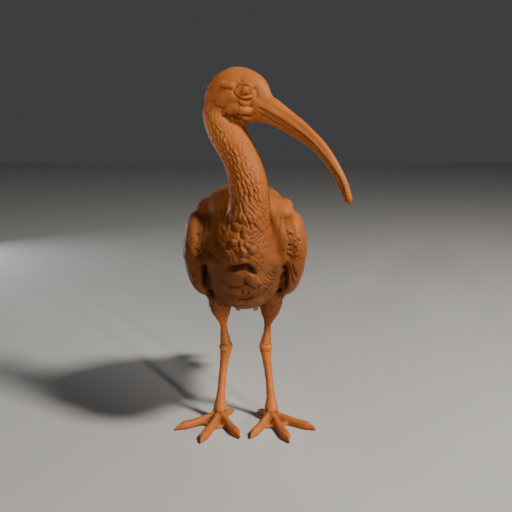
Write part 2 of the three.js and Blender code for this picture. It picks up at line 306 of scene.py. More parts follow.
for share in ((BODY_SHARE * body + HALF_WAY * neck_and_head) * (1 - bill), HALF_WAY * panel):
    points = softened(points, ends, share, BROAD_ROUNDS)
points[:, 1] += TAIL_STRETCH * ramp(*TAIL_END, points[:, 1])
set_points(bird, points)
print("softened", len(points), "points")

# %% [markdown]
# Carving happens in steps that a modeller would take with smaller and smaller tools. Each step works out how
# far every point of the skin should move out or in, in millimetres, and the points then move along their
# normals. Strokes follow smooth lines through a few places, feathers are rows of tiles or loose cells.
# %% Lines
LINE_STEPS = 24


def normals_of(piece):
    return table(piece.data.vertices, "normal")


def smooth_line(places):
    """Points close together on a smooth curve through a few places."""
    p = np.array(places, float)
    p = np.vstack([2 * p[0] - p[1], p, 2 * p[-1] - p[-2]])
    t = np.linspace(0, 1, LINE_STEPS, endpoint=False)[:, None]
    spans = zip(p, p[1:], p[2:], p[3:])
    parts = [
        b + (c - a) * t / 2 + (2 * a - 5 * b + 4 * c - d) * t**2 / 2 + (3 * b - a - 3 * c + d) * t**3 / 2
        for a, b, c, d in spans
    ]
    return np.vstack(parts + [p[-2:-1]])


def nearest_on(line, points):
    """For each point: the nearest point of a line, its distance, and how far along the line that is."""
    best = np.full(len(points), np.inf)
    index = np.zeros(len(points), int)
    for i, place in enumerate(line):
        distance = ((points - place) ** 2).sum(1)
        closer = distance < best
        best[closer] = distance[closer]
        index[closer] = i
    steps = np.linalg.norm(np.diff(line, axis=0), axis=1)
    lengths = np.concatenate([[0], np.cumsum(steps)])
    return index, np.sqrt(best), lengths[index]


print("steps from one place of a line to the next:", LINE_STEPS)

# %% Strokes, furrows and knobs
SHOULDER_WIDTH, SHOULDER_SHARE, CORE_SHARE = 1.8, 0.3, 0.6


def bell(distance, width, sharp=2):
    """1 in the middle of a line, and a smooth fall to almost 0 at twice its width."""
    return np.exp(-((distance / width) ** sharp))


def stroke(plane, places, width, lift, taper=0.25, sharp=2):
    """A ridge (lift > 0) or groove (lift < 0) of a given width along a line drawn in a plane."""
    line = smooth_line(places)
    index, distance, _ = nearest_on(line, plane)
    share = index / (len(line) - 1)
    ends = ramp(0, taper, share) * ramp(0, taper, 1 - share) if taper else 1
    return lift * ends * bell(distance, width, sharp)


def furrow(plane, places, width, lift, taper=0.2):
    """A groove with rounded shoulders: a wide shallow one with a narrow one in it."""
    shoulders = stroke(plane, places, SHOULDER_WIDTH * width, SHOULDER_SHARE * lift, taper)
    return shoulders + stroke(plane, places, width, CORE_SHARE * lift, taper)


def knob(plane, centre, radii, lift, turn=0, round_edge=0.5):
    """A rounded bump of given half sizes in a plane, turned by some degrees."""
    angle = math.radians(turn)
    u, v = (plane - np.array(centre)).T
    across = (u * math.cos(angle) + v * math.sin(angle)) / radii[0]
    up = (v * math.cos(angle) - u * math.sin(angle)) / radii[1]
    return lift * np.clip(1 - across**2 - up**2, 0, 1) ** round_edge


def draw(join, form, rows, plane, near=slice(None), **settings):
    """Strokes, furrows or knobs, one for each row, joined by their sum, lowest or highest; 0 if not near."""
    made = np.zeros(len(plane))
    made[near] = join([form(plane[near], *row, **settings) for row in rows], axis=0, initial=0)
    return made


print("a furrow is", SHOULDER_WIDTH, "times as wide as the groove in it")

# %% Feather patterns
SHAKE_SIDE = 64
SHAKE = np.random.default_rng(11).random((SHAKE_SIDE, SHAKE_SIDE, 3))
CELL_BORDER = 0.45
SHAFT_WIDTH = 0.3


def cells(across, along, loose=0.7):
    """Loose feathers in staggered rows, one per unit: 0 at their borders to 1 inside."""
    near, second = np.full((2, len(across)), np.inf)
    for row in range(-1, 2):
        v = np.floor(along) + row
        stagger = 0.5 * (v % 2)
        for column in range(-1, 2):
            u = np.floor(across - stagger) + column
            shake = SHAKE[(u % SHAKE_SIDE).astype(int), (v % SHAKE_SIDE).astype(int)]
            du = across - (u + 0.5 + stagger + (shake[:, 0] - 0.5) * loose)
            dv = along - (v + 0.5 + (shake[:, 1] - 0.5) * loose)
            distance = np.hypot(du, dv)
            nearer = distance < near
            second = np.where(nearer, near, np.minimum(second, distance))
            near = np.where(nearer, distance, near)
    return ramp(0, CELL_BORDER, second - near)


def tiles(across, along, round_tip=0.5, loose=0.25, fan=0, point=2):
    """Overlapping feathers in staggered rows, one per unit, tips towards +along: how far each has risen to
    its tip, and the place across it from -1 to 1. A fan has more feathers in each row than in the last."""
    row = np.floor(along)
    rise = np.zeros(len(across))
    side = np.zeros(len(across))
    taken = np.zeros(len(across), bool)
    for back_row in (1, 0):
        r = row - back_row
        u = across * (1 + fan * r) - 0.5 * (r % 2)
        column = np.floor(u)
        shake = SHAKE[(column % SHAKE_SIDE).astype(int), (r % SHAKE_SIDE).astype(int)]
        f = (u - column) * 2 - 1
        tip = r + 1 + round_tip * (1 - np.abs(f) ** point) + (shake[:, 0] - 0.5) * loose
        here = ~taken & ((along < tip) | (back_row == 0))
        rise = np.where(here, (along - r) / (1 + round_tip), rise)
        side = np.where(here, f, side)
        taken |= here
    return rise, side


def feather(rise, side, lift, groove, shaft=0):
    """The form of one feather: it rises to its tip, falls at its sides and has a ridge in the middle."""
    sides = (0.5 - 0.5 * np.cos(math.pi * side)) ** 1.5
    return lift * rise - groove * sides + shaft * bell(side, SHAFT_WIDTH)


print("random shakes for feathers:", SHAKE.shape)

# %% [markdown]
# The skin is made finer where the photograph shows the finest carving. The faces of the breast, of the front
# of the left wing, of the neck's foot, of the mouth and round both eyes are cut in two each way, because the
# lids are only a millimetre wide. The middle of the breast, where each feather is drawn, is cut in three. A
# window of the front view gives limits across and up, and how far its faces look and lie forward.
# %% Places on the head
EYE = np.array([17.2, 5.6])
FINE_EYE_RADIUS = 9.5
FINE_MOUTH_WIDTH = 2.4
MOUTH = [(25.4, -7.3), (31.1, -9.4), (38.3, -12.9), (47.3, -17), (56.4, -22.4), (65.5, -27.5), (74.5, -33.5),
    (81.7, -39.5), (87.9, -46.2), (94.2, -53.2), (99.5, -59.9), (103.1, -66.6), (105.5, -73.3)]
EYE_OUT = 6
BILL_FROM, BILL_HALF, LOWEST_BILL = 20, 14, 200
SIDEWAYS = 0.3


def head_places(points):
    """Forward, up and out from the middle of the head; out is counted on both sides alike."""
    from_head = points - HEAD_CENTRE
    return from_head @ FORWARD, from_head[:, 2], np.abs(from_head @ OUTWARD)


def on_bill(points):
    """True where the bill is, on both sides."""
    forward, _, out = head_places(points)
    return (forward > BILL_FROM) & (out < BILL_HALF) & (points[:, 2] > LOWEST_BILL)


print("bill:", int(on_bill(points_of(bird)).sum()), "points")

# %% Finer faces at the front and round the eyes
MIDDLE_WINDOW = (-13, 17, 163, 206, -0.4, -45)
BREAST_WINDOW = (-23, 23, 128, 208, -0.45, -40)
WING_WINDOW = (33, 99, 128, 184, -0.35, -28)
NECK_WINDOW = (-99, 99, 208, 226, -0.1, -40)
NECK_EDGE = ([206, 236], [14, 8])


def cut_faces(piece, chosen, cuts=1):
    """Cuts the faces that chosen(middles, facing) picks into smaller ones."""
    faces = piece.data.polygons
    wanted = chosen(in_bird(table(faces, "center")), table(faces, "normal"))
    only(piece)
    ops.object.mode_set(mode="EDIT")
    ops.mesh.select_mode(type="FACE")
    ops.mesh.select_all(action="DESELECT")
    ops.object.mode_set(mode="OBJECT")
    faces.foreach_set("select", wanted)
    ops.object.mode_set(mode="EDIT")
    ops.mesh.subdivide(number_cuts=cuts)
    ops.object.mode_set(mode="OBJECT")
    print("cut", int(wanted.sum()), "faces; now", len(piece.data.polygons))


def in_window(middles, facing, window):
    """True for the faces that lie in a window of the front view and look forward."""
    left, right, low, high, turned, depth = window
    x, y, z = middles.T
    inside = (x > left) & (x < right) & (z > low) & (z < high)
    return inside & (facing[:, 1] < turned) & (y < depth)


def breast_middle(middles, facing):
    return in_window(middles, facing, MIDDLE_WINDOW)


def round_the_middle(middles, facing):
    round_it = in_window(middles, facing, BREAST_WINDOW) | in_window(middles, facing, WING_WINDOW)
    return round_it & ~breast_middle(middles, facing)


def neck_strands(middles, facing):
    left_of_edge = middles[:, 0] < np.interp(middles[:, 2], *NECK_EDGE)
    return in_window(middles, facing, NECK_WINDOW) & left_of_edge


def eyes_and_mouth(middles, facing):
    forward, up, out = head_places(middles)
    eyes = (np.hypot(forward - EYE[0], up - EYE[1]) < FINE_EYE_RADIUS) & (out > EYE_OUT)
    near = on_bill(middles)
    mouth = np.zeros(len(middles), bool)
    plane = np.column_stack([forward, up])[near]
    mouth[near] = nearest_on(smooth_line(MOUTH), plane)[1] < FINE_MOUTH_WIDTH
    return eyes | (mouth & (np.abs(facing @ OUTWARD) > SIDEWAYS))


cut_faces(bird, round_the_middle)
cut_faces(bird, breast_middle, cuts=2)
cut_faces(bird, neck_strands)
cut_faces(bird, eyes_and_mouth)

# %% [markdown]
# First the broad carving: the fold under the breast, the pillows of the belly, and on both sides the creases
# beside the wing and the gap between flank and wing. A front view is the drawing plane here: X across and Z
# up. A row of a drawing has a line's places, width and lift, or a knob's middle, radii, lift and turn.
# %% The drawing of the body's broad forms
FOLD = [(-14.5, 163), (-12, 159), (-9, 157.5), (-5, 158.5), (-1, 159), (2, 159.5), (4.5, 157.5), (8, 154.5),
    (10.5, 155)]
LIP = [(-16, 164), (-9, 163), (0, 164), (8, 162), (15, 159.5)]
PILLOWS = [
    ((-8, 149.5), (12, 7), 1.8, -6),
    ((9, 148), (9, 7.5), 2.2, 14),
    ((-7.5, 136.5), (8, 5.5), 1.5, -24),
    ((6.5, 135.5), (9, 5.5), 1.6, 14),
]
CREASES = [
    ([(0, 151.5), (0, 146.5), (2, 144), (5.5, 141), (9.5, 138.5), (13.5, 135)], 1.5, -2.4),
    ([(-15, 143.5), (-11, 141.5), (-7, 140.5), (-4.5, 141), (-1, 143)], 1.3, -1.6),
    ([(-3.5, 139), (-2, 137), (-0.5, 133)], 1.3, -1.8),
    ([(2, 137), (4, 133)], 1.2, -1.6),
    ([(-7, 128), (-3, 127.5), (1, 126.5), (5.5, 128.5), (9.5, 127.5)], 1.6, -1.2),
    ([(-33, 167), (-29, 166.5), (-25.5, 165.5), (-21, 163), (-18, 160)], 2.4, -1.1),
]
SIDE_CREASES = [
    ([(30.5, 198), (30.5, 191), (29.3, 186), (28, 180)], 1.6, -0.7),
    ([(21.5, 197), (23.4, 191.6), (24.9, 186.7), (24.8, 182.3), (23.1, 178.3), (21.5, 173), (21.5, 167)],
        2, -0.8),
    ([(34, 197.5), (33.6, 190), (34.4, 183), (36.5, 176)], 1.4, -0.9),
    ([(34.2, 158), (34.6, 151), (34.4, 142), (34, 128)], 2.3, -6),
    ([(33.8, 148), (33.4, 139), (33, 127)], 3.4, -3.5),
]
FLANK, FLANK_LIFT = ((27, 162.5), (8.5, 6.5)), 1.2
FOLD_WIDTH, FOLD_DEPTH = 2.3, 5
LIP_WIDTH, LIP_LIFT = 4.5, 0.5
print("creases:", len(CREASES) + len(SIDE_CREASES), "pillows:", len(PILLOWS))

# %% Carve the broad forms
def carve_broad(points, normals):
    x, y, z = points.T
    front = ramp(0.1, 0.4, -normals[:, 1]) * ramp(100, 110, z) * fall(214, 222, z) * ramp(10, 20, -y)
    both = np.column_stack([np.abs(x), z])
    one = np.column_stack([x, z])
    rise = stroke(one, FOLD, FOLD_WIDTH, -FOLD_DEPTH, taper=0.2, sharp=2.6)
    rise += stroke(one, LIP, LIP_WIDTH, LIP_LIFT)
    rise += draw(np.sum, knob, PILLOWS, one, round_edge=1.1)
    rise += draw(np.sum, stroke, CREASES, one, taper=0.3)
    rise += draw(np.sum, stroke, SIDE_CREASES, both, taper=0.3)
    return front * (rise + knob(both, *FLANK, FLANK_LIFT, round_edge=1.1))


def carve(piece, work):
    """Moves every point of the piece along its normal by what a carving step works out."""
    points, normals = points_of(piece), normals_of(piece)
    rise = work(points, normals)
    set_points(piece, points + normals * rise[:, None])
    print(work.__name__, "from", round(rise.min(), 2), "to", round(rise.max(), 2), "mm")


def calm(piece, zone, rounds):
    """Averages the skin with its neighbours in a zone, to take out marks finer than its squares."""
    points = points_of(piece)
    share = HALF_WAY * zone(points)
    set_points(piece, softened(points, edges_of(piece), share, rounds))
    print(zone.__name__, "calmed at", int((share > 0).sum()), "points")


carve(bird, carve_broad)

# %% [markdown]
# The face is drawn from the side, in the plane of the bill: how far forward and how far up from the middle of
# the head. Both sides get the same eye, lids, brow, cheek, jaw and mouth.
# %% The drawing of the face
EYE_LINE = ([(14.1, 4.7), (14.4, 7.4), (15.6, 9.4), (17.6, 10.1), (19.8, 8.9), (20.9, 6.6), (21.4, 3.4),
    (20.3, 1.9), (17.8, 1.5), (15.3, 2.5), (14.1, 4.7)], 0.6, -0.9)
FACE_STROKES = [
    ([(11.6, 4.6), (11.9, 7.8), (13.9, 10.6), (16.7, 11.7), (19.4, 10.8), (21.6, 8), (23.2, 3.6)], 0.85, 0.9),
    ([(11.8, 4.6), (13.2, 1.9), (15.8, 0.3), (18.6, -0.1), (21.2, 0.6), (23.2, 2.4)], 0.85, 1),
    ([(6.9, 5.9), (8.4, 3.6), (11.1, 0.8), (13.7, -1.1), (16.8, -1.9), (20, -1.6), (22.6, -0.2)],
        0.75, -1.25),
    ([(9.4, 7.4), (10.3, 9.2), (11.6, 11.2)], 0.7, -0.8),
    ([(11.4, 15), (12.5, 13.4), (14.9, 12.4), (17.4, 12.2), (20.4, 10.8)], 0.55, -0.9),
    ([(12, 17.2), (17, 15.6), (22.4, 12.8)], 2, 0.5),
    ([(-6.5, 7.6), (-4.3, 7.9), (0.5, 7.5), (4.5, 6.7), (7.3, 6.2)], 1.1, -0.85),
    ([(-8, 11.6), (-2, 10.8), (4, 9.8), (8.4, 9.4)], 2.4, 1.1),
    ([(10, -1.4), (12.2, -5.2), (15, -6.9), (18.4, -7.1), (22.8, -7.9)], 1.1, -0.9),
    ([(12.7, -2.6), (15.7, -4.4), (20.5, -5.6)], 1.6, 0.7),
    ([(11.4, -7), (11.2, -10), (11, -12.8)], 1, -0.5),
    ([(7, -13), (10, -14), (12.5, -14.5), (15.6, -14.8), (20.8, -14.7)], 0.85, -2.2),
    ([(21.6, -10.4), (23, -12.2), (22.3, -15)], 1.1, -0.5),
    ([(-13.5, -4.6), (-9.6, -6.4), (-7.1, -7.1), (-3.5, -8.1), (1.4, -7.6)], 0.8, -0.9),
    ([(-3.5, -8.1), (-3.9, -10.4), (-2.4, -12.4)], 0.7, -1.1),
    ([(-9.6, -0.2), (-6.4, -0.6)], 0.7, -0.9),
    ([(-13, -3.4), (-8.4, -2.8)], 0.7, -0.8),
    ([(21.9, 8.2), (24.1, 5.6), (25.3, 2), (24.3, -1.6)], 1.5, -1),
    ([(-3.4, -12.4), (0.6, -14.6), (4, -17), (6, -19.6)], 1.6, -2),
]
FACE_KNOBS = [
    ((17.5, 5.8), (3.5, 4.2), 1.7, 0),
    ((5.4, -9.4), (6.6, 5.6), 1.5, 0),
    ((16.8, -10.4), (7.8, 4.2), 1.15, -4),
    ((13.2, -16.6), (5.6, 1.5), 1, -6),
    ((27, -13.8), (3.2, 2.8), 0.6, 0),
    ((1.5, 0.4), (8.4, 7.2), 0.8, 0),
]
SOCKET, SOCKET_DEPTH = ((17.3, 5.4), (5.6, 5.6)), 0.7
print("face:", len(FACE_STROKES), "strokes and", len(FACE_KNOBS), "knobs")

# %% Carve the face
def carve_face(points, normals):
    forward, up, out = head_places(points)
    plane = np.column_stack([forward, up])
    sideways = ramp(0.2, 0.55, np.abs(normals @ OUTWARD))
    on_head = fall(33, 37, np.linalg.norm(points - HEAD_CENTRE, axis=1)) * ramp(2, 4, out)
    rise = stroke(plane, *EYE_LINE, taper=0) - SOCKET_DEPTH * patch(plane, *SOCKET, soft=0.25)
    rise += draw(np.sum, stroke, FACE_STROKES, plane, taper=0.2)
    rise += draw(np.sum, knob, FACE_KNOBS, plane, round_edge=0.9)
    return rise * sideways * on_head


carve(bird, carve_face)

# %% [markdown]
# Short fine feathers lie on the back of the head, above the groove behind the eye and round the nape. They
# are laid out on a ball: one angle round the line through both ears, and one outwards from the middle of the
# head.
# %% Head feathers
HEAD_RADIUS = 19
HEAD_TILE = (2.5, 3.6)
HEAD_LIFT, HEAD_GROOVE = 0.4, 0.45


def carve_head_feathers(points, normals):
    forward, up, out = head_places(points)
    turn = np.arctan2(up, -forward)
    outward = np.arctan2(out, np.hypot(forward, up))
    crown = ramp(8, 10.5, up + 0.15 * forward) * fall(-6, 8, forward)
    nape = fall(-14, -10, forward + 0.1 * up)
    near = fall(27, 31, np.linalg.norm(points - HEAD_CENTRE, axis=1))
    zone = np.maximum(crown, nape) * near * ramp(-6, -1, up)
    across, along = HEAD_RADIUS * outward / HEAD_TILE[0], -HEAD_RADIUS * turn / HEAD_TILE[1]
    return zone * feather(*tiles(across, along, round_tip=0.6, loose=0.5, point=1.4), HEAD_LIFT, HEAD_GROOVE)


carve(bird, carve_head_feathers)

# %% [markdown]
# The bill is smooth but for its long lines: the mouth with a fine raised edge between two grooves, and a soft
# groove that runs from each nostril most of the way to the tip.
# %% Bill
BILL_STROKES = [
    (MOUTH, 0.7, -0.85, 0.06),
    (MOUTH[:8], 0.6, -0.6, 0.2),
    ([(24.4, -8.9), (29, -11), (33.3, -13.1), (42.2, -17.7), (50.3, -22.4)], 0.7, 0.5, 0.2),
    ([(26.5, -11.6), (32.8, -14.9), (41.8, -19.6), (49.1, -23.2)], 0.7, -0.9, 0.3),
    ([(46, -18.6), (56, -24.4), (66, -30.2), (76, -37.4), (88, -49), (97, -61), (103, -71)], 0.8, 0.35, 0.2),
    ([(36, -5.4), (41.6, -8.6), (50.4, -12.8), (59.7, -18.5), (68.9, -24.9), (78.1, -32.4), (86.4, -40.6),
        (94, -49.5)], 1.1, -0.5, 0.25),
    ([(24, 0.5), (30, -2.5), (36, -5.4)], 1.8, -0.5, 0.3),
]


def carve_bill(points, normals):
    forward, up, _ = head_places(points)
    rise = draw(np.sum, stroke, BILL_STROKES, np.column_stack([forward, up]), on_bill(points))
    return rise * ramp(20, 23, forward) * ramp(0.1, 0.4, np.abs(normals @ OUTWARD))


carve(bird, carve_bill)

# %% [markdown]
# The neck feathers are long narrow strands, deep on the back and the bird's right side and fading to fine
# scales on its left, where the clay is rubbed smooth. They run round the neck in a slow spiral, and below it
# they fan out from one point over the top of the breast.
# %% Places round the neck
NECK_LINE = [(0, -51, 154), (2, -48, 180), (4, -51, 209), (0.2, -46.5, 235), (-11, -33.5, 257),
    (-20.2, -20.5, 277), (-20, -16, 290)]


def neck_places(points):
    """Height along the neck's middle line, angle round it from the front to the bird's left, and distance."""
    line = smooth_line(NECK_LINE)
    index, distance, along = nearest_on(line, points)
    tangent = np.gradient(line, axis=0)[index]
    tangent /= np.linalg.norm(tangent, axis=1)[:, None]
    front = np.array([0, -1, 0]) + tangent * tangent[:, 1][:, None]
    side = np.cross(tangent, front)
    offset = points - line[index]
    angle = np.arctan2((offset * side).sum(1), (offset * front).sum(1))
    return along, angle, distance


print("neck line:", len(smooth_line(NECK_LINE)), "points")

# %% The net of strands
STRAND_SIZE, STRAND_DEPTH = (4, 5.8), 1.15
STRAND_LEAN_HEIGHTS = [205, 225, 245, 262]
STRAND_LEANS = [-0.5, -0.4, -0.1, 0.2]
lean_heights, lean_sums = running_sum(STRAND_LEAN_HEIGHTS, STRAND_LEANS)
leaned = (lean_heights, lean_sums - lean_sums[0])


def net(across, down):
    """Two sets of long winding grooves that cross at a small angle, with pointed lozenges between them. The
    sines only make them wind unevenly, and their sizes and steps were found."""
    wind = 0.16 * np.sin(0.53 * down + 1.3 * np.sin(0.21 * across))
    wind += 0.12 * np.sin(0.9 * across + 0.17 * down)
    u = across / STRAND_SIZE[0] + wind
    v = down / STRAND_SIZE[1] + 0.1 * np.sin(0.8 * across)
    one, other = ((0.5 + 0.5 * np.cos(math.tau * (u + slant * v))) ** 3 for slant in (0.5, -0.5))
    weaker = 0.8 + 0.2 * np.sin(0.31 * down + 0.8 * np.sin(0.37 * across))
    return -STRAND_DEPTH * np.maximum(one, other * weaker)


print("strands lean", round(float(leaned[1][-1]), 1), "mm from the neck's foot to its top")

# %% Carve the neck
NECK_RADIUS = 16
FAN_POINT = (-2, 226)
FAN_REACH, FAN_LEAN = 26, 0.24
FAN_ZONE = ((0, 199), (22, 14))
RUBBED_HEIGHTS = [206, 222, 236, 262, 275]
RUBBED_FROM = [0.6, 0.45, 0.2, -0.3, -0.5]
RUBBED_LOSS, HEAD_LOSS = 0.75, 0.45
SCALE_SIZE, SCALE_DEPTH = 2.4, 0.4
WAVE_SIZE, WAVE_STEP = 0.35, 4.1
CHEEK = ((1.5, -1), (10.5, 9))
DRAWN = ((2.5, 187), (14.5, 25))


def drawn_breast(x, z):
    """1 where the breast's feathers are drawn one by one."""
    return patch(np.column_stack([x, z]), *DRAWN, soft=0.12)


def carve_neck(points, normals):
    along, angle, distance = neck_places(points)
    x, y, z = points.T
    round_it = NECK_RADIUS * angle - np.interp(z, *leaned)
    strands = net(round_it + WAVE_SIZE * np.sin(along / WAVE_STEP), -along)
    strands *= 1 - HEAD_LOSS * ramp(255, 278, z)
    scales = SCALE_DEPTH * (cells(round_it / SCALE_SIZE, -along / SCALE_SIZE) - 1)
    rubbed_from = np.interp(z, RUBBED_HEIGHTS, RUBBED_FROM)
    rubbed = ramp(0, 0.35, angle - rubbed_from) * fall(1.9, 2.4, angle)
    bare = patch(np.column_stack(head_places(points)[:2]), *CHEEK, soft=0.2)
    by_pattern = 1 - drawn_breast(x, z)
    on_neck = fall(19, 22, distance) * ramp(204, 211, z) * fall(286, 293, z) * by_pattern * (1 - bare)
    aside, below = x - FAN_POINT[0], FAN_POINT[1] - z
    away, turned = np.hypot(aside, below), np.arctan2(aside, below)
    fan = net(FAN_REACH * (turned - FAN_LEAN * np.log(away / FAN_REACH)), away)
    front = ramp(0.15, 0.45, -normals[:, 1]) * (y < -30) * fall(204, 211, z)
    fanned = patch(np.column_stack([x, z]), *FAN_ZONE, soft=0.25) * by_pattern
    return (strands * (1 - RUBBED_LOSS * rubbed) + scales * rubbed) * on_neck + fan * front * fanned


carve(bird, carve_neck)

# %% [markdown]
# On the breast the feathers swell into round clumps with deep gaps, so each clump and each gap is drawn one
# by one: a rounded knob, or a groove through a few places. Beside them lie loose small feathers and a few
# pits, below the fold combed arcs on the bird's left, and along the belly long hairs.
# %% The gaps of the breast
BREAST_GROOVES = [
    ([(-3.5, 215), (-2.5, 211), (-2, 207.5), (-1, 203.5), (0.5, 200), (2.5, 197), (4, 193.5), (4.5, 190.5),
        (6, 188.5), (8, 187)], 0.8, -1.15),
    ([(4.5, 194), (7, 193.5), (9.5, 191), (11.5, 189), (13.5, 186.5), (15, 185), (16, 183)], 0.75, -1.15),
    ([(1.5, 218.5), (3, 216), (4, 213.5), (4, 210.5), (5.5, 208), (8, 206), (10, 204), (12, 201.5)],
        0.7, -0.75),
    ([(2, 210), (3, 206.5), (5.5, 204.5), (8.5, 201), (11, 198.5), (13.5, 196), (15, 193.5), (16, 192.5)],
        0.75, -0.9),
    ([(2.5, 202.5), (4, 201), (6, 199.5), (6.5, 196.5), (6, 195)], 0.7, -0.85),
    ([(4.5, 212), (7, 210), (9.5, 207.5), (11, 205)], 0.7, -0.6),
    ([(7, 220.5), (8.5, 218.5), (10, 216.5), (12, 216)], 0.7, -0.45),
    ([(9.5, 197.5), (10, 195.5), (12, 195.5), (12.5, 197.5)], 0.6, -0.6),
    ([(-8, 214.5), (-6.5, 209.5), (-5, 207), (-3.5, 206.5)], 0.7, -0.7),
    ([(-3.5, 206.5), (-4.5, 204), (-5.5, 201), (-5.5, 198.5), (-5, 195.5), (-4, 194)], 0.75, -0.9),
    ([(-6, 214), (-5, 210), (-3.5, 208)], 0.7, -0.6),
    ([(-11.5, 199), (-10, 196.5), (-9.5, 194.5)], 0.8, -0.85),
    ([(-13.5, 196.5), (-13, 193.5), (-10.5, 192.5), (-10.5, 189.5), (-9, 187.5)], 0.9, -0.9),
    ([(-9, 193), (-7.5, 194.5), (-5.5, 195.5), (-4, 194), (-2.5, 195)], 0.75, -1.1),
    ([(-1, 195.5), (0.5, 195), (1, 192), (2.5, 189.5)], 0.75, -0.9),
    ([(-7.5, 207.5), (-8.5, 203.5), (-9, 200), (-8, 197)], 0.7, -0.6),
    ([(-9, 188), (-6.5, 187.5), (-4, 188.5), (-3.5, 191)], 0.9, -0.6),
    ([(-3.5, 189.5), (-3.5, 186.5), (-3.5, 184), (-2, 182.5), (-0.5, 182), (1.5, 183)], 1, -1.3),
    ([(-12, 181.5), (-9, 182), (-5.5, 181.5)], 0.8, -0.8),
    ([(-11.5, 179.5), (-10.5, 177), (-8.5, 176), (-6.5, 177.5), (-5.5, 179.5)], 1.1, -1),
    ([(-5, 180.5), (-5, 177.5), (-4, 175.5)], 0.9, -0.9),
    ([(-0.5, 181.5), (0, 179), (-0.5, 177), (0.5, 174.5), (2.5, 173.5), (3, 171.5)], 1, -1.1),
    ([(-3.5, 175.5), (-3, 171.5), (-1.5, 168.5), (0.5, 169), (2, 172)], 1, -0.59),
    ([(3.5, 174), (4.5, 171), (6.5, 169.5), (9.5, 170.5), (10.5, 173.5), (9.5, 176)], 0.9, -0.6),
    ([(0.5, 180), (3, 179.5), (5.5, 178), (7.5, 177.5), (9.5, 176)], 0.8, -0.8),
    ([(3.5, 184), (6, 185), (8.5, 186.5), (11, 188)], 0.7, -0.9),
    ([(3.5, 182.5), (6, 182), (9.5, 183.5), (12.5, 186)], 0.7, -0.9),
    ([(8, 179.5), (10, 181), (12.5, 182.5), (14.5, 184)], 0.7, -0.8),
    ([(6, 192), (8, 190), (9.5, 190), (11, 189)], 0.7, -0.7),
    ([(3, 188), (2.5, 186), (4, 184)], 0.7, -0.7),
    ([(-10.5, 175.5), (-9, 173), (-7, 171), (-5, 169)], 1.2, -0.78),
    ([(-14.5, 176), (-13, 174), (-11, 172.5)], 1, -1),
    ([(-1, 167.5), (0.5, 167), (2.5, 166), (4.5, 168)], 1.4, -1.04),
    ([(10, 172.5), (12.5, 173), (15, 173.5), (18, 174), (20, 175)], 0.8, -0.45),
    ([(-6.5, 166), (-3.5, 167.5), (-1, 167.5)], 1.2, -0.59),
    ([(5.5, 165.5), (8, 164), (11, 161), (14, 158)], 0.8, -0.65),
    ([(8.5, 167.5), (11, 165), (14, 162.5), (16.5, 161)], 0.7, -0.52),
    ([(9.5, 158.5), (10, 161), (12, 163.5)], 0.7, -0.52),
]
print("gaps:", len(BREAST_GROOVES))

# %% The clumps, pits and small feathers of the breast
BREAST_PITS = [(10.5, 175), (12.5, 178.5), (16, 179), (19.5, 179.5), (14, 166), (8.5, 167.5), (16, 193),
    (17.5, 208), (15, 198), (21.5, 182.5), (-23, 177), (19, 188.5)]
PIT_RADIUS, PIT_DEPTH = 0.9, 0.8
SMALL_CELL, SMALL_DEPTH, SMALL_SLANT = (3.2, 3.8), 0.14, 0.3
SMALL_ZONE = ((3, 190), (23, 26))
CLUMPS = [
    ((-6.5, 191), (4.4, 4.2), 1.2, 0),
    ((-8.6, 179.2), (4, 3.4), 1.6, 0),
    ((-2.2, 179), (2.6, 3.4), 0.8, 0),
    ((-0.7, 172.6), (3.4, 4.8), 1.6, 10),
    ((6.8, 173.6), (4.6, 4.6), 1.9, 0),
    ((2.4, 177.2), (3.4, 2.4), 0.8, -25),
    ((0.8, 187), (2.8, 4.6), 0.8, 0),
    ((-4.2, 198.6), (2.2, 4), 0.7, -10),
    ((0.4, 197.4), (2.4, 4.6), 0.8, 10),
    ((4, 198), (2, 4.2), 0.7, 20),
]
SIDE_CELL, SIDE_DEPTH = (4.8, 6), 0.35
SIDE_ZONE = ((0, 180), (25, 20))
SIDE_LEFT_SHARE = 0.5
print("clumps:", len(CLUMPS), "pits:", len(BREAST_PITS))

# %% The lines of the belly
BELLY_COMB = [
    [(11.5, 154.5), (12.5, 150), (15, 145.5), (19, 140.5), (23.5, 136.5)],
    [(13.5, 154.5), (15, 149), (18, 145), (22, 141), (25, 139.5)],
    [(16, 153.5), (18.5, 149), (21.5, 145.5), (25, 143.5), (28.5, 144)],
    [(18.5, 154), (21, 150), (24, 147.5), (27.5, 147)],
    [(21, 154.5), (23.5, 151.5), (26.5, 150)],
    [(12.5, 141), (17.5, 142), (21, 138.5)],
    [(14.5, 135), (19.5, 136), (23.5, 138.5), (28, 141.5)],
    [(17, 131.5), (22, 132.5), (26.5, 135), (29.5, 137.5)],
    [(9.5, 144.5), (12, 141), (11, 138)],
    [(19.5, 127.5), (25, 127), (29, 125)],
]
COMB_WIDTH, COMB_DEPTH = 0.8, 0.95
HAIR_LINE = [(-38, 146), (-30, 136), (-20, 127), (-8, 121), (0, 119.5)]
HAIR_SPACING, HAIR_DEPTH = 2.3, 0.6


def combed(value, spacing):
    """Fine parallel grooves: 0 on the ridges to -1 in the grooves."""
    return -((0.5 + 0.5 * np.cos(math.tau * value / spacing)) ** 2)


print("combed arcs:", len(BELLY_COMB))

